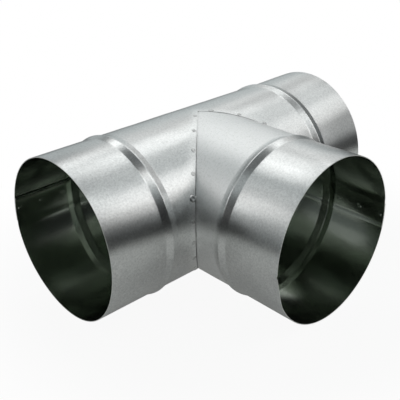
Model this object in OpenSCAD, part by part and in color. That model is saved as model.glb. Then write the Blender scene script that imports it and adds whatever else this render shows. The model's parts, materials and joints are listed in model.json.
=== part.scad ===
// Equal tee for round ducts, made of two rolled and beaded sheets that meet in a mitred saddle.
// The run lies along X, the branch points along -Y, and the tee rests on its three beads at Z = 0.

/* [Tube] */
// Outside diameter of the three collars
tube_d = 125; // [80:5:250]
// Thickness of the sheet
sheet_t = 0.5; // [0.4:0.1:1]

/* [Lengths] */
// From the side of the branch to the middle of each run bead
neck_len = 22; // [14:0.5:60]
// From the side of the run to the middle of the branch bead
branch_neck_len = 24; // [14:0.5:60]
// From the middle of each bead to its mouth
collar_len = 52; // [30:0.5:90]

/* [Beads] */
// Width of a bead across its foot
bead_w = 12.5; // [9:0.5:16]
// Height of a bead above the tube
bead_h = 1.4; // [0.8:0.1:2]
// Hollow radius at the foot of a bead, on the outside
bead_foot_r = 3; // [1.5:0.5:4]
// Radius of the ridge between the two flat flanks of a bead, on the outside
bead_crown_r = 2.5; // [1.5:0.5:4]

/* [Lap seams] */
// Width of the doubled sheet at a lap seam
lap_w = 20; // [10:1:30]
// Open line along the edge of the outer sheet
lap_gap = 0.6; // [0.3:0.1:1.5]
// How far the inner sheet runs on past the open line
lap_tuck = 2; // [1:0.5:5]
// Inner sheet edge of the run, from the top towards the back
run_lap_angle = 78; // [60:1:120]
// Inner sheet edge of the branch, from the top towards +X
branch_lap_angle = 101; // [60:1:120]

/* [Saddle joint] */
// Open line between the cut edge of the run and the branch
seam_gap = 0.6; // [0.3:0.1:1.5]
// Width of the branch flange that lies inside the run
flange_w = 8; // [4:0.5:12]
// Width of the bend that carries the flange
bend_w = 1.2; // [0.8:0.1:2]
// Notch that relieves the flange where both seams meet at the crown
crown_relief = 5; // [3:0.5:8]
// Clearance between the flange and the run wall
flange_clear = 0.05; // [0.02:0.01:0.2]

/* [Hidden] */
$fn = 128;
// Straight steps along the ridge arc and along each foot arc of a bead
crown_steps = 4;
foot_steps = 3;
tube_r = tube_d / 2;
run_bead = tube_r + neck_len;
branch_bead = tube_r + branch_neck_len;
run_half = run_bead + collar_len;
branch_len = branch_bead + collar_len;
// The axes cross above the floor by the radius of a bead, and the box is centred front to back
axis_z = tube_r + bead_h;
axis_y = (branch_len - axis_z) / 2;
// Slope of a flank, which is a straight line that both the foot arc and the ridge arc meet tangent
bead_arcs = bead_foot_r + bead_crown_r;
bead_drop = bead_arcs - bead_h;
bead_slope = asin(bead_arcs / norm([bead_w / 2, bead_drop])) - atan(2 * bead_drop / bead_w);
lap_a = turn_of(lap_w);
lap_gap_a = turn_of(lap_gap);
lap_tuck_a = turn_of(lap_tuck);
// The flange lies under the run wall, and the bend reaches down to its inner face
flange_out_r = tube_r - sheet_t - flange_clear;
flange_in_r = flange_out_r - sheet_t;
// Reach of the shapes that cut clear of the whole tee, and of those that cut clear of a mouth
far = branch_len + tube_d;
cut_over = 1;
zinc = [0.74, 0.76, 0.77];

// Angle that a width takes up round the tube
function turn_of(w) = w / tube_r * 180 / PI;

// Points along an arc, from its first angle to its last
function arc(centre, r, from, to, steps) =
    [for (i = [0:steps]) centre + r * [cos(from + (to - from) * i / steps), sin(from + (to - from) * i / steps)]];

// Line over one bead, at a depth below the outer face
function bead_line(at, depth) =
    let (
        foot_x = tube_r + bead_foot_r,
        crown_x = tube_r + bead_h - bead_crown_r
    )
    concat(
        arc([foot_x, at - bead_w / 2], bead_foot_r + depth, 180, 180 - bead_slope, foot_steps),
        arc([crown_x, at], bead_crown_r - depth, -bead_slope, bead_slope, crown_steps),
        arc([foot_x, at + bead_w / 2], bead_foot_r + depth, 180 + bead_slope, 180, foot_steps)
    );

// Line along the whole wall, at a depth below the outer face
function wall_line(from, to, beads, depth) =
    concat([[tube_r - depth, from]], [for (b = beads) each bead_line(b, depth)], [[tube_r - depth, to]]);

function reversed(list) = [for (i = [len(list) - 1:-1:0]) list[i]];

// Section of the wall between two depths, beads and all
module wall_section(from, to, beads, d0, d1) {
    polygon(concat(wall_line(from, to, beads, d0), reversed(wall_line(from, to, beads, d1))));
}

// Section of all that lies deeper than the first sheet, past both mouths
module deep_section(from, to, beads) {
    lowest = [[tube_r - 3 * sheet_t, to + cut_over], [tube_r - 3 * sheet_t, from - cut_over]];
    polygon(concat(wall_line(from - cut_over, to + cut_over, beads, sheet_t), lowest));
}

// Part of a turn round Z
module turn(from, sweep) {
    rotate([0, 0, from])
        rotate_extrude(angle = sweep)
            children();
}

// Sheet rolled along Z, with its inner edge at lap_at and its outer edge lying over it.
// The double wall is left whole at the lap, and loses its inner half over the rest of the turn.
module rolled_tube(from, to, beads, lap_at) {
    doubled_a = lap_a + lap_gap_a + lap_tuck_a;
    difference() {
        rotate_extrude()
            wall_section(from, to, beads, 0, 2 * sheet_t);
        turn(lap_at + doubled_a, 360 - doubled_a)
            deep_section(from, to, beads);
        turn(lap_at + lap_a, lap_gap_a)
            wall_section(from - cut_over, to + cut_over, beads, -sheet_t, sheet_t);
    }
}

// Turns Z into -X, with the angles of a tube measured from the top towards the back
module along_run() {
    rotate([0, -90, 0])
        children();
}

// Turns Z into -Y, with the angles of a tube measured from the top towards -X
module along_branch() {
    rotate([0, -90, 90])
        children();
}

// Space in front of both mitre planes, pushed back across them by a distance
module saddle_wedge(push) {
    translate([0, push * sqrt(2), -tube_d])
        linear_extrude(2 * tube_d)
            polygon([[0, 0], [far, -far], [-far, -far]]);
}

// Strip along both mitre planes, between two distances behind them, open at the crown for relief
module saddle_strip(from, to) {
    translate([0, 0, -tube_d])
        linear_extrude(2 * tube_d)
            for (side = [0, 1])
                mirror([side, 0])
                    polygon([
                        [crown_relief + from, -crown_relief],
                        [crown_relief + to, -crown_relief],
                        [far + to, -far],
                        [far + from, -far]
                    ]);
}

// Plain ring along Z, centred on the crossing of the axes
module plain_ring(r0, r1) {
    difference() {
        cylinder(h = 2 * far, r = r1, center = true);
        cylinder(h = 3 * far, r = r0, center = true);
    }
}

// Brings the crossing of the axes to its place over the floor
module place() {
    translate([0, axis_y, axis_z])
        children();
}

// Run sheet, cut open to both mitre planes
module run_tube() {
    color(zinc)
        place()
            difference() {
                along_run()
                    rolled_tube(-run_half, run_half, [-run_bead, run_bead], run_lap_angle);
                saddle_wedge(seam_gap);
            }
}

// Branch sheet, mitred to the saddle, with the bend and flange that tuck inside the run
module branch_tube() {
    color(zinc)
        place() {
            intersection() {
                along_branch()
                    rolled_tube(0, branch_len, [branch_bead], -branch_lap_angle);
                saddle_wedge(0);
            }
            intersection() {
                along_branch()
                    plain_ring(flange_in_r, tube_r - sheet_t / 2);
                saddle_strip(-bend_w, seam_gap / 2);
            }
            intersection() {
                along_run()
                    plain_ring(flange_in_r, flange_out_r);
                saddle_strip(0, flange_w);
            }
        }
}

run_tube();
branch_tube();
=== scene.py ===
import json
import math

import bpy
from mathutils import Matrix, Vector


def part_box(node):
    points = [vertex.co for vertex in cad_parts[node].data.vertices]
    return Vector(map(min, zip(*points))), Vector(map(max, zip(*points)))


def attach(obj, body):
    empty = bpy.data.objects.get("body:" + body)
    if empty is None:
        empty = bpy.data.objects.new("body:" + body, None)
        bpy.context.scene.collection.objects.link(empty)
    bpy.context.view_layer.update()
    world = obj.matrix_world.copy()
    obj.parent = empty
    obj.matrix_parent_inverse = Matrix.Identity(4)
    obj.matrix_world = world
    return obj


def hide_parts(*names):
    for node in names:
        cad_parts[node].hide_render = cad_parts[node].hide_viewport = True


bl_info = {
    "name": "Galvanized duct tee",
    "version": (1, 0, 0),
    "blender": (4, 5, 0),
    "location": "View3D > Sidebar > Duct tee",
    "description": "Rolled, beaded and welded sheets of an equal tee for round ducts",
    "category": "Object",
}

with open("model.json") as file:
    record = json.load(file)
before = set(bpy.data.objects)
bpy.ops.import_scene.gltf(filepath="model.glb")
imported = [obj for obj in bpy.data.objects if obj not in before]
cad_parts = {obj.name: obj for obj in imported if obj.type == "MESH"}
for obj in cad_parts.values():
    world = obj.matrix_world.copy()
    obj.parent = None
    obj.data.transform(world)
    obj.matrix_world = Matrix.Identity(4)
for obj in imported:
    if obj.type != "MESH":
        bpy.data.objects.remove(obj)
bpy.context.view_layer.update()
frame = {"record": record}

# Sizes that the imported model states, in metres
COLLARS = {mount["name"]: mount for mount in frame["record"]["mounts"]}
RUN_COLLAR = COLLARS["right_collar"]
BRANCH_COLLAR = COLLARS["branch_collar"]
RADIUS = RUN_COLLAR["dims"]["r_mm"] / 1000
AXIS_Y, AXIS_Z = RUN_COLLAR["pos_m"][1:]
RUN_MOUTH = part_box("run_tube")[1].x
BRANCH_MOUTH = AXIS_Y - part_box("branch_tube")[0].y
RUN_FREE = RUN_COLLAR["dims"]["length_mm"] / 1000
BRANCH_FREE = BRANCH_COLLAR["dims"]["length_mm"] / 1000
BEAD_HEIGHT = AXIS_Z - RADIUS
TURN = 2 * math.pi

# How each mouth is out of round: for a number of lobes, the cosine and sine share of the radius
MOUTH_LOBES = {
    "left": {0: (-0.004, 0), 1: (0.0035, 0.003), 2: (0.0025, -0.0015), 3: (-0.0025, -0.0065), 4: (-0.0035, 0.005)},
    "right": {2: (0.02, 0)},
    "branch": {0: (0.0025, 0), 1: (0.0055, -0.0025), 2: (0.017, 0), 3: (0, 0.0055)},
}

# Weld marks on each side of the saddle, on each half of the run lap, and on the branch lap
SADDLE_MARKS = 12
RUN_LAP_MARKS = 7
BRANCH_LAP_MARKS = 4
# The saddle mark that is larger than the others, on the left side
STRONG_MARK = 8


class SheetSettings(bpy.types.PropertyGroup):
    """Sizes of the two rolled sheets"""

    radius: bpy.props.FloatProperty(
        name="Tube radius", description="Outside radius of the tubes", default=RADIUS, unit="LENGTH")
    thickness: bpy.props.FloatProperty(
        name="Sheet thickness", description="Thickness of the sheet", default=0.0005, unit="LENGTH")
    bead_width: bpy.props.FloatProperty(
        name="Bead width", description="Width of a bead across its foot", default=0.0125, unit="LENGTH")
    bead_height: bpy.props.FloatProperty(
        name="Bead height", description="Height of a bead above the tube", default=BEAD_HEIGHT, unit="LENGTH")
    bead_foot: bpy.props.FloatProperty(
        name="Bead foot radius", description="Hollow radius at the foot of a bead", default=0.003, unit="LENGTH")
    bead_crown: bpy.props.FloatProperty(
        name="Bead ridge radius", description="Radius of the ridge between the two flat flanks of a bead",
        default=0.0025, unit="LENGTH")
    lap_width: bpy.props.FloatProperty(
        name="Lap width", description="Width of the doubled sheet", default=0.02, unit="LENGTH")
    joggle: bpy.props.FloatProperty(
        name="Joggle", description="Width of the step beside a lap", default=0.006, unit="LENGTH")
    run_lap: bpy.props.FloatProperty(
        name="Run lap", description="Inner sheet edge of the run, from the top towards the back",
        default=math.radians(78), subtype="ANGLE", unit="ROTATION")
    branch_lap: bpy.props.FloatProperty(
        name="Branch lap", description="Inner sheet edge of the branch, from the top towards -X",
        default=math.radians(-101), subtype="ANGLE", unit="ROTATION")
    lap_lift: bpy.props.FloatProperty(
        name="Lap lift", description="Distance that the inner edge of a lap stands off the outer sheet",
        default=0.0006, unit="LENGTH")
    seam_gap: bpy.props.FloatProperty(
        name="Seam gap", description="Open line between the run's cut edge and the branch",
        default=0.0003, unit="LENGTH")
    flange: bpy.props.FloatProperty(
        name="Flange width", description="Width of the branch flange inside the run",
        default=0.008, unit="LENGTH")
    lift: bpy.props.FloatProperty(
        name="Edge lift", description="Height by which the run's cut edge lifts between welds",
        default=0.0002, unit="LENGTH")
    dip: bpy.props.FloatProperty(
        name="Crease depth", description="Depth to which the branch dips at the seam",
        default=0.0001, unit="LENGTH")
    dent: bpy.props.FloatProperty(
        name="Dent", description="Depth of the small dent in the branch mouth", default=0.0011, unit="LENGTH")
    wave: bpy.props.FloatProperty(
        name="Waviness", description="Height of the soft waves in the sheet",
        default=0.00024, unit="LENGTH")
    columns: bpy.props.IntProperty(
        name="Columns", description="Faces round a sheet", default=240, min=48, max=480)


class WeldSettings(bpy.types.PropertyGroup):
    """Sizes of the spot-weld marks"""

    width: bpy.props.FloatProperty(
        name="Mark width", description="Width of a weld mark", default=0.0040, unit="LENGTH")
    height: bpy.props.FloatProperty(
        name="Mark height", description="Height of the ring of a weld mark", default=0.00032, unit="LENGTH")
    seam_start: bpy.props.FloatProperty(
        name="Saddle start", description="Turn from the crown to the first weld marks of the saddle",
        default=math.radians(5), subtype="ANGLE", unit="ROTATION")
    seam_pitch: bpy.props.FloatProperty(
        name="Saddle pitch", description="Turn between the weld marks of the saddle",
        default=math.radians(15), subtype="ANGLE", unit="ROTATION")
    inset: bpy.props.FloatProperty(
        name="Saddle inset", description="Distance of the saddle weld marks from the cut edge",
        default=0.0019, unit="LENGTH")
    lap_pitch: bpy.props.FloatProperty(
        name="Lap pitch", description="Distance between the weld marks of a lap", default=0.019, unit="LENGTH")
    lap_inset: bpy.props.FloatProperty(
        name="Lap inset", description="Distance of the first weld mark of a lap from the mouth",
        default=0.0038, unit="LENGTH")


class FinishSettings(bpy.types.PropertyGroup):
    """Colours of the zinc"""

    outside: bpy.props.FloatVectorProperty(
        name="Outside", description="Zinc on the outside", default=(0.76, 0.765, 0.76),
        size=3, min=0, max=1, subtype="COLOR")
    # A darker copy of the outside zinc: painted shade for the inside of the tubes
    inside: bpy.props.FloatVectorProperty(
        name="Inside", description="Zinc on the inside", default=(0.40, 0.44, 0.385),
        size=3, min=0, max=1, subtype="COLOR")
    edge: bpy.props.FloatVectorProperty(
        name="Cut edge", description="Bare cut edge of the sheet", default=(0.86, 0.86, 0.84),
        size=3, min=0, max=1, subtype="COLOR")
    weld: bpy.props.FloatVectorProperty(
        name="Weld mark", description="Zinc darkened by a spot weld", default=(0.65, 0.65, 0.645),
        size=3, min=0, max=1, subtype="COLOR")
    roughness: bpy.props.FloatProperty(
        name="Roughness", description="Roughness of the zinc", default=0.285, min=0, max=1, subtype="FACTOR")
    # Dull skin makes the branch body rougher, which is real, and also lifts its colour, which is a painted highlight
    dull: bpy.props.FloatProperty(
        name="Dull skin", description="Roughness that the handled skin of the branch has on top",
        default=0.16, min=0, max=1, subtype="FACTOR")


class StageSettings(bpy.types.PropertyGroup):
    """Levels of the studio"""

    floor: bpy.props.FloatVectorProperty(
        name="Floor", description="Colour of the floor", default=(0.79, 0.80, 0.77),
        size=3, min=0, max=1, subtype="COLOR")
    floor_in_metal: bpy.props.FloatProperty(
        name="Floor in metal", description="Share of the white floor that the metal mirrors",
        default=0.13, min=0, max=1, subtype="FACTOR")
    key: bpy.props.FloatProperty(
        name="Lamp level", description="Level of the softboxes", default=1.0, min=0)


class Field:
    """A value in a node tree that takes plain arithmetic."""

    def __init__(self, tree, socket):
        self.tree, self.socket = tree, socket

    def math(self, operation, *values, clamp=False):
        node = self.tree.nodes.new("ShaderNodeMath")
        node.operation, node.use_clamp = operation, clamp
        for socket, value in zip(node.inputs, (self, *values)):
            feed(self.tree, socket, value)
        return Field(self.tree, node.outputs[0])

    def __add__(self, other):
        return self.math("ADD", other)

    def __sub__(self, other):
        return self.math("SUBTRACT", other)

    def __rsub__(self, other):
        return self.math("MULTIPLY_ADD", -1, other)

    def __mul__(self, other):
        return self.math("MULTIPLY", other)

    def __truediv__(self, other):
        return self.math("DIVIDE", other)

    def __neg__(self):
        return self.math("MULTIPLY", -1)

    __radd__ = __add__
    __rmul__ = __mul__

    def sin(self):
        return self.math("SINE")

    def cos(self):
        return self.math("COSINE")

    def abs(self):
        return self.math("ABSOLUTE")

    def above(self, other):
        return self.math("MAXIMUM", other)

    def below(self, other):
        return self.math("MINIMUM", other)

    def ramp(self, start, length):
        """0 before start, 1 after start + length."""
        return (self - start).math("DIVIDE", length, clamp=True)

    def soft(self, start, length):
        """The same with both ends eased."""
        t = self.ramp(start, length)
        return t * t * (3 - 2 * t)


def feed(tree, socket, value):
    """Links a field to a socket, or sets the socket to a plain value."""
    if isinstance(value, Field):
        tree.links.new(value.socket, socket)
    else:
        socket.default_value = value


def add_node(tree, kind, values=(), out=0, **settings):
    """Adds a node with its settings and inputs, and gives one of its outputs."""
    node = tree.nodes.new(kind)
    for name, value in settings.items():
        setattr(node, name, value)
    for name, value in dict(values).items():
        feed(tree, node.inputs[name], value)
    return Field(tree, node.outputs[out])


def vector(tree, x, y, z):
    return add_node(tree, "ShaderNodeCombineXYZ", {0: x, 1: y, 2: z})


def noise(tree, place, scale, detail=1.0, roughness=0.5):
    """Noise from -1 to 1 at a place."""
    made = add_node(
        tree, "ShaderNodeTexNoise",
        {"Vector": place, "Scale": scale, "Detail": detail, "Roughness": roughness})
    return made * 2 - 1


def new_tree(name, sizes):
    """A geometry tree with named inputs. Gives the tree and its inputs as fields."""
    tree = bpy.data.node_groups.new(name, "GeometryNodeTree")
    tree.is_modifier = True
    tree.interface.new_socket(name="Geometry", in_out="OUTPUT", socket_type="NodeSocketGeometry")
    for label, value in sizes.items():
        kind = "NodeSocketInt" if isinstance(value, int) else "NodeSocketFloat"
        if isinstance(value, bpy.types.Material):
            kind = "NodeSocketMaterial"
        tree.interface.new_socket(name=label, in_out="INPUT", socket_type=kind)
    source = tree.nodes.new("NodeGroupInput")
    return tree, {label: Field(tree, source.outputs[label]) for label in sizes}


def finish_tree(tree, geometry):
    """Ends a tree in Realize Instances."""
    made = add_node(tree, "GeometryNodeRealizeInstances", {0: geometry})
    sink = tree.nodes.new("NodeGroupOutput")
    tree.links.new(made.socket, sink.inputs[0])


def piece_from_tree(name, tree, sizes, sharp=35):
    """Runs a tree on an empty mesh, and gives the plain mesh object that comes out."""
    holder = bpy.data.objects.new(name + "_tree", bpy.data.meshes.new(name + "_tree"))
    bpy.context.scene.collection.objects.link(holder)
    modifier = holder.modifiers.new("tree", "NODES")
    modifier.node_group = tree
    for item in tree.interface.items_tree:
        if item.in_out == "INPUT":
            modifier[item.identifier] = sizes[item.name]
    depsgraph = bpy.context.evaluated_depsgraph_get()
    mesh = bpy.data.meshes.new_from_object(holder.evaluated_get(depsgraph), depsgraph=depsgraph)
    if not mesh.polygons:
        raise RuntimeError(name + " came out empty")
    mesh.name = name
    mesh.shade_smooth()
    mesh.set_sharp_from_angle(angle=math.radians(sharp))
    piece = bpy.data.objects.new(name, mesh)
    bpy.context.scene.collection.objects.link(piece)
    bpy.data.objects.remove(holder)
    return piece


def bead_slope(sheet):
    """Slope of a flank, which meets the foot arc and the ridge arc tangent."""
    arcs = sheet.bead_foot + sheet.bead_crown
    drop, half = arcs - sheet.bead_height, sheet.bead_width / 2
    return math.asin(arcs / math.hypot(half, drop)) - math.atan(drop / half)


def bead_rise(a, p):
    """Rise of a bead: a hollow foot, a flat flank and a share of the ridge on each side of its middle."""
    slope, foot, crown = p["Bead slope"], p["Bead foot"], p["Bead ridge"]
    foot_run, crown_run = foot * slope.sin(), crown * slope.sin()
    half = p["Bead width"] * 0.5
    off = (a - p["Bead at"]).abs()
    come = (half - off).above(0)
    on_foot, on_crown = come.below(foot_run), off.below(crown_run)
    on_flank = come.above(foot_run).below(half - crown_run) - foot_run
    rise = foot - (foot * foot - on_foot * on_foot).math("SQRT")
    rise = rise + on_flank * slope.math("TANGENT")
    return rise + (crown * crown - on_crown * on_crown).math("SQRT") - crown * slope.cos()


def stations(j, start, lip, at, width, mouth, rows):
    """Distance along the tube of grid row j: close rows at the lip and over the bead."""
    lip_rows, body_rows, bead_rows, collar_rows = rows
    foot = at - width * 0.5
    a = start + lip * j.ramp(0, lip_rows)
    a = a + (foot - start - lip) * j.ramp(lip_rows, body_rows)
    a = a + width * j.ramp(lip_rows + body_rows, bead_rows)
    return a + (mouth - at - width * 0.5) * j.ramp(lip_rows + body_rows + bead_rows, collar_rows)


def rolled_depth(s, p):
    """Depth of the sheet below the outside at a distance s from its inner edge. Both edges stand off a little."""
    under = p["Thickness"] + 0.00003
    free = 1 - s.ramp(0, 0.004)
    loose = 1 - (p["Lap width"] + p["Radius"] * TURN - s).ramp(0, 0.003)
    stand_off = p["Lap lift"] * (free * free - 0.4 * loose * loose)
    return under * (1 - s.soft(p["Lap width"] + 0.0006, p["Joggle"])) + stand_off


def grid_fields(tree, columns, rows):
    """A grid, with how far each point is across it, 0 to 1, and its row number."""
    grid = tree.nodes.new("GeometryNodeMeshGrid")
    for name, value in {"Size X": 1, "Size Y": 1, "Vertices X": columns, "Vertices Y": rows + 1}.items():
        feed(tree, grid.inputs[name], value)
    place = add_node(tree, "GeometryNodeInputPosition")
    parts = tree.nodes.new("ShaderNodeSeparateXYZ")
    tree.links.new(place.socket, parts.inputs[0])
    u = Field(tree, parts.outputs[0]) + 0.5
    j = (Field(tree, parts.outputs[1]) + 0.5) * rows
    return Field(tree, grid.outputs[0]), u, j


def set_place(tree, geometry, place):
    return add_node(tree, "GeometryNodeSetPosition", {"Geometry": geometry, "Position": place})


def shell(tree, skin, inward, p):
    """Gives a skin its thickness: the skin, an inner skin and the cut edges, closed."""
    thick = tree.nodes.new("GeometryNodeExtrudeMesh")
    thick.mode = "FACES"
    feed(tree, thick.inputs["Mesh"], skin)
    feed(tree, thick.inputs["Offset"], inward)
    feed(tree, thick.inputs["Offset Scale"], p["Thickness"])
    thick.inputs["Individual"].default_value = False
    body = Field(tree, thick.outputs["Mesh"])
    # The inner skin takes the inside zinc, which is darker as painted shade
    for material, chosen in (("Inside", "Top"), ("Edge", "Side")):
        body = add_node(tree, "GeometryNodeSetMaterial", {
            "Geometry": body, "Selection": Field(tree, thick.outputs[chosen]), "Material": p[material]})
    body = add_node(tree, "GeometryNodeFlipFaces", {"Mesh": body})
    outer = add_node(tree, "GeometryNodeSetMaterial", {"Geometry": skin, "Material": p["Outside"]})
    return merged(tree, (outer, body))


def merged(tree, parts):
    join = tree.nodes.new("GeometryNodeJoinGeometry")
    for part in reversed(parts):
        tree.links.new(part.socket, join.inputs[0])
    return add_node(tree, "GeometryNodeMergeByDistance", {
        "Geometry": Field(tree, join.outputs[0]), "Distance": 0.000002})


def inward_field(tree, along):
    """Direction from a point to the axis of its tube, which runs through the crossing of the axes."""
    place = add_node(tree, "GeometryNodeInputPosition")
    parts = tree.nodes.new("ShaderNodeSeparateXYZ")
    tree.links.new(place.socket, parts.inputs[0])
    x, y, z = (Field(tree, parts.outputs[k]) for k in range(3))
    across = vector(tree, 0.0, AXIS_Y - y, AXIS_Z - z) if along == "X" else vector(tree, -x, 0.0, AXIS_Z - z)
    return add_node(tree, "ShaderNodeVectorMath", {0: across}, operation="NORMALIZE")


def out_of_round(phi, a, p, lobes):
    """Change of radius, which grows from the bead to the mouth."""
    foot = p["Bead at"] + p["Bead width"] * 0.5
    grow = a.soft(foot, p["Mouth"] - foot)
    return p["Radius"] * grow * sum(c * (phi * n).cos() + s * (phi * n).sin() for n, (c, s) in lobes.items())


SHEET_INPUTS = (
    "Radius", "Thickness", "Bead width", "Bead slope", "Bead foot", "Bead ridge", "Bead at", "Mouth",
    "Lap start", "Lap width", "Lap lift", "Joggle", "Seam gap", "Waviness")


def run_tree(materials):
    sizes = dict.fromkeys((*SHEET_INPUTS, "Edge lift", "Weld start", "Weld pitch"), 0.0)
    tree, p = new_tree("rolled_run", {**sizes, "Columns": 0, **materials})
    rows = (6, 14, 40, 18)
    halves = []
    for side in (-1, 1):
        grid, u, j = grid_fields(tree, p["Columns"], sum(rows))
        turn = u * (p["Lap width"] / p["Radius"] + TURN)
        phi = turn + p["Lap start"]
        y = p["Radius"] * phi.sin()
        start = (p["Seam gap"] * math.sqrt(2) - y).above(0)
        a = stations(j, start, 0.004, p["Bead at"], p["Bead width"], p["Mouth"], rows)
        r = p["Radius"] - rolled_depth(turn * p["Radius"], p) + bead_rise(a, p)
        r = r + out_of_round(phi, a, p, MOUTH_LOBES["left" if side < 0 else "right"])
        place = vector(tree, a * side, p["Radius"] * phi.sin(), p["Radius"] * phi.cos())
        body = 1 - a.soft(p["Bead at"] - 0.02, 0.015)
        r = r + p["Waviness"] * noise(tree, place, 38.0) * (body * 0.8 + 0.2)
        # The cut edge lifts between its welds, and stays down at them and on the crown
        at_cut = start.ramp(0, 0.006)
        fold = 0.5 - 0.5 * ((phi + p["Weld start"]) / p["Weld pitch"] * TURN).cos()
        edge = 1 - (a - start).ramp(0, 0.004)
        ragged = 0.3 + 0.7 * fold + 0.4 * noise(tree, place, 260.0)
        r = r + p["Edge lift"] * at_cut * edge * edge * ragged
        place = vector(tree, a * side, AXIS_Y + r * phi.sin(), AXIS_Z + r * phi.cos())
        half = set_place(tree, grid, place)
        if side > 0:
            half = add_node(tree, "GeometryNodeFlipFaces", {"Mesh": half})
        halves.append(half)
    skin = merged(tree, halves)
    finish_tree(tree, shell(tree, skin, inward_field(tree, "X"), p))
    return tree


def branch_tree(materials):
    sizes = dict.fromkeys((*SHEET_INPUTS, "Flange", "Crease", "Dent"), 0.0)
    tree, p = new_tree("rolled_branch", {**sizes, "Columns": 0, **materials})
    rows = (8, 14, 40, 22)
    flange_rows = 6
    grid, u, j = grid_fields(tree, p["Columns"], flange_rows + sum(rows))
    j = j - flange_rows
    turn = u * (p["Lap width"] / p["Radius"] + TURN)
    phi = turn + p["Lap start"]
    side_x = p["Radius"] * phi.sin()
    start = side_x.abs()
    a = stations(j, start, 0.004, p["Bead at"], p["Bead width"], p["Mouth"], rows)
    r = p["Radius"] - rolled_depth(turn * p["Radius"], p) + bead_rise(a, p)
    r = r + out_of_round(phi, a, p, MOUTH_LOBES["branch"])
    place = vector(tree, -p["Radius"] * phi.sin(), -a, p["Radius"] * phi.cos())
    r = r + p["Waviness"] * noise(tree, place, 38.0) * (1 - 0.8 * a.soft(p["Bead at"] - 0.02, 0.015))
    crease = 1 - (a - start).ramp(0, 0.0025)
    r = r - p["Crease"] * crease * crease
    # A small dent in the mouth, with a nick in its edge
    away = (phi - math.radians(104)).abs() / 0.26
    near = (1 - away * away).above(0)
    r = r - p["Dent"] * near * near * a.soft(p["Mouth"] - 0.018, 0.018)
    nick = (1 - (phi - math.radians(92)).abs() / 0.03).above(0)
    a = a - 0.0009 * nick * j.ramp(sum(rows) - 2, 2)
    # Rows below 0 bend in under the run and follow its inner face
    under = (-j).ramp(0, 1)
    along = (-j).ramp(1, flange_rows - 1) * p["Flange"]
    sign = phi.sin().math("SIGN")
    x = -r * phi.sin() - sign * along
    inner = p["Radius"] - p["Thickness"] * 1.1 - p["Crease"]
    depth_y = -a + 0.0
    flat = p["Radius"] * phi.cos()
    run_y = -start
    scale = inner / p["Radius"]
    y_under, z_under = run_y * scale, flat * scale
    y = depth_y * (1 - under) + y_under * under
    z = r * phi.cos() * (1 - under) + z_under * under
    place = vector(tree, x, AXIS_Y + y, AXIS_Z + z)
    skin = set_place(tree, grid, place)
    finish_tree(tree, shell(tree, skin, inward_field(tree, "Y"), p))
    return tree


def mark_shape(tree, width, height):
    """A dished weld mark round the Z axis: a low ring about a hollow, closed below its face."""
    face_rows, ring_at = 8, 0.6
    grid, u, j = grid_fields(tree, 29, face_rows + 2)
    q = j.ramp(0, face_rows)
    slope = ((q - ring_at) / (1 - ring_at)).above(0) + ((ring_at - q) / ring_at * 0.93).above(0)
    radius = width * 0.5 * q * (1 - j.ramp(face_rows + 1, 1))
    z = height * (1 - slope * slope) - height * 1.2 * j.ramp(face_rows, 1)
    place = vector(tree, radius * (u * TURN).cos(), radius * (u * TURN).sin(), z)
    return add_node(tree, "GeometryNodeFlipFaces", {"Mesh": merged(tree, (set_place(tree, grid, place),))})


def put_marks(tree, shape, count, place, facing, material, growth=1.0):
    """One mark at each point of a row, turned to face the way that its sheet faces."""
    points = add_node(tree, "GeometryNodePoints", {"Count": count, "Position": place})
    turn = add_node(tree, "FunctionNodeAlignRotationToVector", {"Vector": facing}, axis="Z")
    size = add_node(
        tree, "FunctionNodeRandomValue", {2: 0.55, 3: 1.15, "Seed": 5}, out=1, data_type="FLOAT") * growth
    made = add_node(tree, "GeometryNodeInstanceOnPoints", {
        "Points": points, "Instance": shape, "Rotation": turn, "Scale": vector(tree, size, size, size)})
    return add_node(tree, "GeometryNodeSetMaterial", {"Geometry": made, "Material": material})


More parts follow.
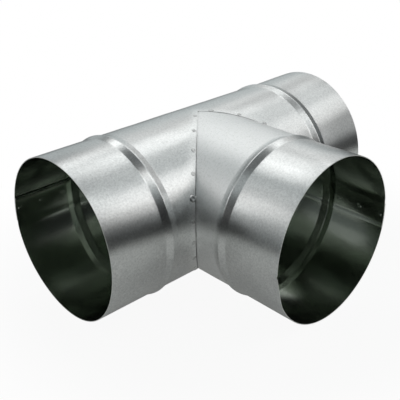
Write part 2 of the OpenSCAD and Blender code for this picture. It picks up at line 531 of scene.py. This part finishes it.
def marks_tree(materials):
    """Spot welds: along both sides of the saddle, and along the two laps inside and outside."""
    sizes = dict.fromkeys((
        "Radius", "Thickness", "Bead width", "Seam gap", "Lap width", "Mark width", "Mark height",
        "Weld start", "Weld pitch", "Weld inset", "Lap pitch", "Lap inset",
        "Run lap", "Run bead", "Run mouth", "Branch lap", "Branch bead", "Branch mouth"), 0.0)
    tree, p = new_tree("weld_marks", {**sizes, **materials})
    shape = mark_shape(tree, p["Mark width"], p["Mark height"])
    k = add_node(tree, "GeometryNodeInputIndex")
    side = k.math("MODULO", 2) * 2 - 1
    pair = (k * 0.5).math("FLOOR")
    # Round the saddle, each mark lies on the run sheet beside the cut edge
    phi = p["Weld start"] + p["Weld pitch"] * pair
    off = p["Weld inset"] * (phi.cos() * phi.cos() + 1).math("SQRT")
    x = side * (p["Radius"] * phi.sin() + p["Seam gap"] * math.sqrt(2) + off)
    place = vector(tree, x, AXIS_Y - p["Radius"] * phi.sin(), AXIS_Z + p["Radius"] * phi.cos())
    facing = vector(tree, 0.0, -phi.sin(), phi.cos())
    growth = 1 + 0.5 * (1 - (k - STRONG_MARK).abs()).above(0)
    rows = [put_marks(tree, shape, SADDLE_MARKS * 2, place, facing, p["Weld"], growth)]
    half_lap = p["Lap width"] * 0.5 / p["Radius"]
    under = p["Thickness"] * 2 + 0.00003
    for inside in (0, 1):
        # Marks inside take the inside zinc, which is darker as painted shade
        material = p["Inside"] if inside else p["Weld"]
        out = 1 - 2 * inside
        # Along the lap of the run, in pairs to the left and the right
        phi = p["Run lap"] + half_lap
        a = p["Run mouth"] - p["Lap inset"] - p["Lap pitch"] * pair
        end = {"Radius": p["Radius"], "Bead width": p["Bead width"], "Bead at": p["Run bead"], "Mouth": p["Run mouth"]}
        left, right = (out_of_round(phi, a, end, MOUTH_LOBES[name]) for name in ("left", "right"))
        r = p["Radius"] - under * inside + left + (right - left) * (side * 0.5 + 0.5)
        place = vector(tree, side * a, AXIS_Y + r * phi.sin(), AXIS_Z + r * phi.cos())
        facing = vector(tree, 0.0, phi.sin() * out, phi.cos() * out)
        rows.append(put_marks(tree, shape, RUN_LAP_MARKS * 2, place, facing, material))
        # Along the lap of the branch
        phi = p["Branch lap"] + half_lap
        a = p["Branch mouth"] - p["Lap inset"] - p["Lap pitch"] * k
        end = end | {"Bead at": p["Branch bead"], "Mouth": p["Branch mouth"]}
        r = p["Radius"] - under * inside + out_of_round(phi, a, end, MOUTH_LOBES["branch"])
        place = vector(tree, -r * phi.sin(), AXIS_Y - a, AXIS_Z + r * phi.cos())
        facing = vector(tree, -phi.sin() * out, 0.0, phi.cos() * out)
        rows.append(put_marks(tree, shape, BRANCH_LAP_MARKS, place, facing, material))
    join = tree.nodes.new("GeometryNodeJoinGeometry")
    for row in rows:
        tree.links.new(row.socket, join.inputs[0])
    finish_tree(tree, Field(tree, join.outputs[0]))
    return tree


def mottled_zinc(name, colour, roughness, grain=1.0, bump=0.2, dull=0.0):
    """Rolled zinc: soft clouds and a fine even grain, with a duller skin on the branch up to its bead, whose colour is
    also painted lighter as a painted highlight.
    """
    material = bpy.data.materials.new(name)
    material.use_nodes = True
    tree = material.node_tree
    shader = tree.nodes["Principled BSDF"]
    place = add_node(tree, "ShaderNodeTexCoord", out="Object")
    parts = tree.nodes.new("ShaderNodeSeparateXYZ")
    tree.links.new(place.socket, parts.inputs[0])
    front = AXIS_Y - Field(tree, parts.outputs[1])
    # The branch body from the seam to its bead is rougher, and its colour is painted lighter there as a painted
    # highlight
    past_seam = (front - Field(tree, parts.outputs[0]).abs()).soft(-0.012, 0.014)
    dulled_and_brightened = past_seam * (1 - front.soft(BRANCH_MOUTH - BRANCH_FREE - 0.0115, 0.004))
    cloud = noise(tree, place, 55.0, 2.0)
    flake = noise(tree, place, 650.0, 1.0)
    speck = noise(tree, place, 1400.0)
    level = 1 + cloud * 0.03 + (flake * 0.6 + speck * 0.5) * 0.38 * grain + dulled_and_brightened * dull * 1.8
    colours = tree.nodes.new("ShaderNodeVectorMath")
    colours.operation = "SCALE"
    colours.inputs[0].default_value = colour
    feed(tree, colours.inputs["Scale"], level)
    tree.links.new(colours.outputs[0], shader.inputs["Base Color"])
    shader.inputs["Metallic"].default_value = 1.0
    feed(tree, shader.inputs["Roughness"], roughness + cloud * 0.008 + dulled_and_brightened * dull)
    rise = tree.nodes.new("ShaderNodeBump")
    rise.inputs["Strength"].default_value = bump
    rise.inputs["Distance"].default_value = 0.00005
    feed(tree, rise.inputs["Height"], flake)
    tree.links.new(rise.outputs[0], shader.inputs["Normal"])
    return material


def zinc_materials():
    finish = bpy.context.scene.tee_finish
    if "zinc_outside" not in bpy.data.materials:
        mottled_zinc("zinc_outside", finish.outside, finish.roughness, dull=finish.dull)
        # The inside zinc is the outside zinc painted darker, as painted shade
        mottled_zinc("zinc_inside", finish.inside, finish.roughness - 0.09, 0.5, 0.05)
        mottled_zinc("zinc_cut_edge", finish.edge, finish.roughness + 0.1, 0.5, 0.1)
        mottled_zinc("zinc_weld", finish.weld, finish.roughness)
    names = {"Outside": "zinc_outside", "Inside": "zinc_inside", "Edge": "zinc_cut_edge", "Weld": "zinc_weld"}
    return {label: bpy.data.materials[name] for label, name in names.items()}


def sheet_sizes(materials):
    s = bpy.context.scene.tee_sheet
    return {
        "Radius": s.radius, "Thickness": s.thickness, "Bead width": s.bead_width, "Bead slope": bead_slope(s),
        "Bead foot": s.bead_foot, "Bead ridge": s.bead_crown, "Lap width": s.lap_width, "Lap lift": s.lap_lift,
        "Joggle": s.joggle, "Seam gap": s.seam_gap, "Waviness": s.wave, "Columns": s.columns, **materials}


def settle(piece, node=None):
    """Sets a finished piece on the one body of the tee."""
    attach(piece, "root")
    if node:
        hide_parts(node)


class TEE_OT_run_sheet(bpy.types.Operator):
    """Makes the rolled sheet of the run, with two beads, a lap seam and the saddle cut"""

    bl_idname = "tee.run_sheet"
    bl_label = "Make run sheet"

    def execute(self, context):
        s = context.scene.tee_sheet
        materials = zinc_materials()
        weld = context.scene.tee_weld
        sizes = sheet_sizes(materials) | {
            "Bead at": RUN_MOUTH - RUN_FREE - s.bead_width / 2, "Mouth": RUN_MOUTH, "Lap start": s.run_lap,
            "Edge lift": s.lift, "Weld start": weld.seam_start, "Weld pitch": weld.seam_pitch}
        piece = piece_from_tree("run_sheet", run_tree(materials), sizes)
        settle(piece, "run_tube")
        return {"FINISHED"}


class TEE_OT_branch_sheet(bpy.types.Operator):
    """Makes the rolled sheet of the branch, with one bead, a lap seam and the flange inside the run"""

    bl_idname = "tee.branch_sheet"
    bl_label = "Make branch sheet"

    def execute(self, context):
        s = context.scene.tee_sheet
        materials = zinc_materials()
        sizes = sheet_sizes(materials) | {
            "Bead at": BRANCH_MOUTH - BRANCH_FREE - s.bead_width / 2, "Mouth": BRANCH_MOUTH,
            "Lap start": s.branch_lap, "Flange": s.flange, "Crease": s.dip, "Dent": s.dent}
        piece = piece_from_tree("branch_sheet", branch_tree(materials), sizes)
        settle(piece, "branch_tube")
        return {"FINISHED"}


class TEE_OT_weld_marks(bpy.types.Operator):
    """Makes the spot-weld marks along the saddle and along both laps"""

    bl_idname = "tee.weld_marks"
    bl_label = "Make weld marks"

    def execute(self, context):
        s, weld = context.scene.tee_sheet, context.scene.tee_weld
        materials = zinc_materials()
        sizes = sheet_sizes(materials) | {
            "Mark width": weld.width, "Mark height": weld.height, "Weld start": weld.seam_start,
            "Weld pitch": weld.seam_pitch, "Weld inset": weld.inset, "Lap pitch": weld.lap_pitch,
            "Lap inset": weld.lap_inset, "Run lap": s.run_lap, "Run bead": RUN_MOUTH - RUN_FREE - s.bead_width / 2,
            "Run mouth": RUN_MOUTH, "Branch lap": s.branch_lap,
            "Branch bead": BRANCH_MOUTH - BRANCH_FREE - s.bead_width / 2, "Branch mouth": BRANCH_MOUTH}
        piece = piece_from_tree("weld_marks", marks_tree(materials), sizes)
        settle(piece)
        return {"FINISHED"}


class TEE_OT_stage(bpy.types.Operator):
    """Makes the floor, the soft lamps, the surroundings and the camera"""

    bl_idname = "tee.stage"
    bl_label = "Make stage"

    def execute(self, context):
        make_floor(context.scene.tee_stage)
        make_world(context.scene)
        make_lamps(context.scene.tee_stage)
        make_camera(context.scene)
        return {"FINISHED"}


def make_floor(stage):
    """A pale board under the tee, which meets the white surroundings without an edge."""
    half = 0.37
    mesh = bpy.data.meshes.new("floor")
    mesh.from_pydata([(-half, -half, 0), (half, -half, 0), (half, half, 0), (-half, half, 0)], [], [(0, 1, 2, 3)])
    floor = bpy.data.objects.new("floor", mesh)
    bpy.context.scene.collection.objects.link(floor)
    material = bpy.data.materials.new("floor")
    material.use_nodes = True
    tree = material.node_tree
    tree.nodes.clear()
    matt = tree.nodes.new("ShaderNodeBsdfDiffuse")
    matt.inputs["Color"].default_value = (*stage.floor, 1)
    glow = tree.nodes.new("ShaderNodeEmission")
    light_path = tree.nodes.new("ShaderNodeLightPath")
    seen = Field(tree, light_path.outputs["Is Camera Ray"])
    mirrored = Field(tree, light_path.outputs["Is Glossy Ray"])
    through = Field(tree, light_path.outputs["Is Transmission Ray"])
    place = add_node(tree, "ShaderNodeTexCoord", out="Object")
    away = add_node(tree, "ShaderNodeVectorMath", {0: place}, out="Value", operation="LENGTH")
    white = seen * (0.93 + 0.07 * away.soft(0.14, 0.14)) + mirrored * stage.floor_in_metal + through
    mix = tree.nodes.new("ShaderNodeMixShader")
    feed(tree, mix.inputs[0], white.math("ADD", 0.0, clamp=True))
    tree.links.new(matt.outputs[0], mix.inputs[1])
    tree.links.new(glow.outputs[0], mix.inputs[2])
    out = tree.nodes.new("ShaderNodeOutputMaterial")
    tree.links.new(mix.outputs[0], out.inputs[0])
    mesh.materials.append(material)


def make_world(scene):
    """White behind the tee. Its light is a cool dome, a pale back and a dark front."""
    world = bpy.data.worlds.new("studio")
    world.use_nodes = True
    scene.world = world
    tree = world.node_tree
    tree.nodes.clear()
    place = add_node(tree, "ShaderNodeTexCoord", out="Generated")
    parts = tree.nodes.new("ShaderNodeSeparateXYZ")
    tree.links.new(place.socket, parts.inputs[0])
    x, y, z = (Field(tree, parts.outputs[k]) for k in range(3))
    dome = 0.44 * z.soft(0.45, 0.3) * (1 - 0.8 * z.soft(0.84, 0.1))
    back = 0.47 * y.soft(0.35, 0.4) * z.soft(-0.2, 0.2)
    right = 0.14 * x.soft(0.35, 0.4) * z.soft(-0.05, 0.2)
    wall = (back + right) * (1 - z.soft(0.30, 0.25))
    glow = tree.nodes.new("ShaderNodeBackground")
    glow.inputs["Color"].default_value = (0.91, 0.99, 1.0, 1)
    feed(tree, glow.inputs["Strength"], 0.01 + dome + wall)
    white = tree.nodes.new("ShaderNodeBackground")
    white.inputs["Color"].default_value = (1, 1, 1, 1)
    light_path = tree.nodes.new("ShaderNodeLightPath")
    seen = Field(tree, light_path.outputs["Is Camera Ray"]) + Field(tree, light_path.outputs["Is Transmission Ray"])
    mix = tree.nodes.new("ShaderNodeMixShader")
    feed(tree, mix.inputs[0], seen)
    tree.links.new(glow.outputs[0], mix.inputs[1])
    tree.links.new(white.outputs[0], mix.inputs[2])
    out = tree.nodes.new("ShaderNodeOutputWorld")
    tree.links.new(mix.outputs[0], out.inputs[0])


# Softboxes, which hang side by side: direction from the tee and level of each
LAMPS = {
    "back_low": ((0.55, 0.70, 0.45), 0.15),
    "back_right": ((0.55, 0.60, 0.60), 0.40),
    "back_middle": ((0.30, 0.60, 0.75), 0.85),
    "back_left": ((0.05, 0.60, 0.80), 0.90),
    "top_right": ((0.55, 0.30, 0.80), 1.05),
    "top_front": ((0.55, 0.00, 0.85), 0.20),
    "left_high": ((-0.45, 0.60, 0.65), 0.35),
    "left_low": ((-0.65, 0.60, 0.45), 1.10),
    "left_side": ((-0.90, 0.35, 0.30), 0.25),
    "front_high": ((0.55, -0.55, 0.60), 1.05),
    "front_low": ((0.55, -0.70, 0.45), 0.75),
    "near_top": ((0.20, -0.45, 0.90), 1.60),
    "front_corner": ((0.70, -0.65, 0.25), 0.35),
    "right_back": ((0.75, 0.45, 0.45), 0.45),
    "right_high": ((0.75, 0.20, 0.60), 0.30),
    "right_middle": ((0.75, -0.05, 0.65), 0.40),
    "right_front": ((0.75, -0.30, 0.55), 0.85),
}
LAMP_DISTANCE = 1.6
LAMP_WIDTH = 0.54


def make_lamps(stage):
    centre = Vector((0, AXIS_Y, AXIS_Z))
    for name, (direction, level) in LAMPS.items():
        light = bpy.data.lights.new(name, "AREA")
        light.shape, light.size = "SQUARE", LAMP_WIDTH
        # An area lamp of this power has the radiance that its level names
        light.energy = stage.key * level * math.pi * LAMP_WIDTH * LAMP_WIDTH
        light.color = (1.0, 1.0, 0.99)
        lamp = bpy.data.objects.new(name, light)
        way = Vector(direction).normalized()
        lamp.location = centre + way * LAMP_DISTANCE
        lamp.rotation_mode = "QUATERNION"
        lamp.rotation_quaternion = way.to_track_quat("Z", "Y")
        bpy.context.scene.collection.objects.link(lamp)


def make_camera(scene):
    """Looks at the corner between the left collar and the branch."""
    azimuth, elevation, roll = math.radians(-42.78), math.radians(26.97), math.radians(-1.04)
    place = Vector((0, AXIS_Y, AXIS_Z)) + RADIUS * Vector((-5.722, -6.1842, 4.0247))
    forward = Vector((
        -math.sin(azimuth) * math.cos(elevation), math.cos(azimuth) * math.cos(elevation), -math.sin(elevation)))
    right = Vector((math.cos(azimuth), math.sin(azimuth), 0))
    up = right.cross(forward)
    right, up = (
        right * math.cos(roll) + up * math.sin(roll),
        up * math.cos(roll) - right * math.sin(roll))
    data = bpy.data.cameras.new("camera")
    data.sensor_width = 36
    data.lens = 36 * 700.66 / 400
    data.clip_start, data.clip_end = 0.05, 20
    camera = bpy.data.objects.new("camera", data)
    turn = Matrix((right, up, -forward)).transposed().to_4x4()
    camera.matrix_world = Matrix.Translation(place) @ turn
    scene.collection.objects.link(camera)
    scene.camera = camera
    scene.view_settings.view_transform = "Standard"


class TEE_PT_panel(bpy.types.Panel):
    """Lists the settings and the pieces of the tee"""

    bl_idname = "TEE_PT_panel"
    bl_label = "Duct tee"
    bl_space_type = "VIEW_3D"
    bl_region_type = "UI"
    bl_category = "Duct tee"

    def draw(self, context):
        for name, (group, operators) in PANEL_ROWS.items():
            box = self.layout.box()
            box.label(text=name)
            settings = getattr(context.scene, group)
            for key in settings.__annotations__:
                box.prop(settings, key)
            for operator in operators:
                box.operator(operator)


SETTINGS = {
    "tee_sheet": SheetSettings, "tee_weld": WeldSettings, "tee_finish": FinishSettings, "tee_stage": StageSettings}
PANEL_ROWS = {
    "Sheets": ("tee_sheet", ("tee.run_sheet", "tee.branch_sheet")),
    "Welds": ("tee_weld", ("tee.weld_marks",)),
    "Finish": ("tee_finish", ()),
    "Stage": ("tee_stage", ("tee.stage",)),
}
OPERATORS = (TEE_OT_run_sheet, TEE_OT_branch_sheet, TEE_OT_weld_marks, TEE_OT_stage)


def register():
    for made in (*SETTINGS.values(), *OPERATORS, TEE_PT_panel):
        bpy.utils.register_class(made)
    for name, group in SETTINGS.items():
        setattr(bpy.types.Scene, name, bpy.props.PointerProperty(type=group))


def unregister():
    for name in SETTINGS:
        delattr(bpy.types.Scene, name)
    for made in (TEE_PT_panel, *reversed(OPERATORS), *reversed(SETTINGS.values())):
        bpy.utils.unregister_class(made)


def main():
    register()
    bpy.ops.tee.run_sheet()
    bpy.ops.tee.branch_sheet()
    bpy.ops.tee.weld_marks()
    bpy.ops.tee.stage()


if __name__ == "__main__":
    main()
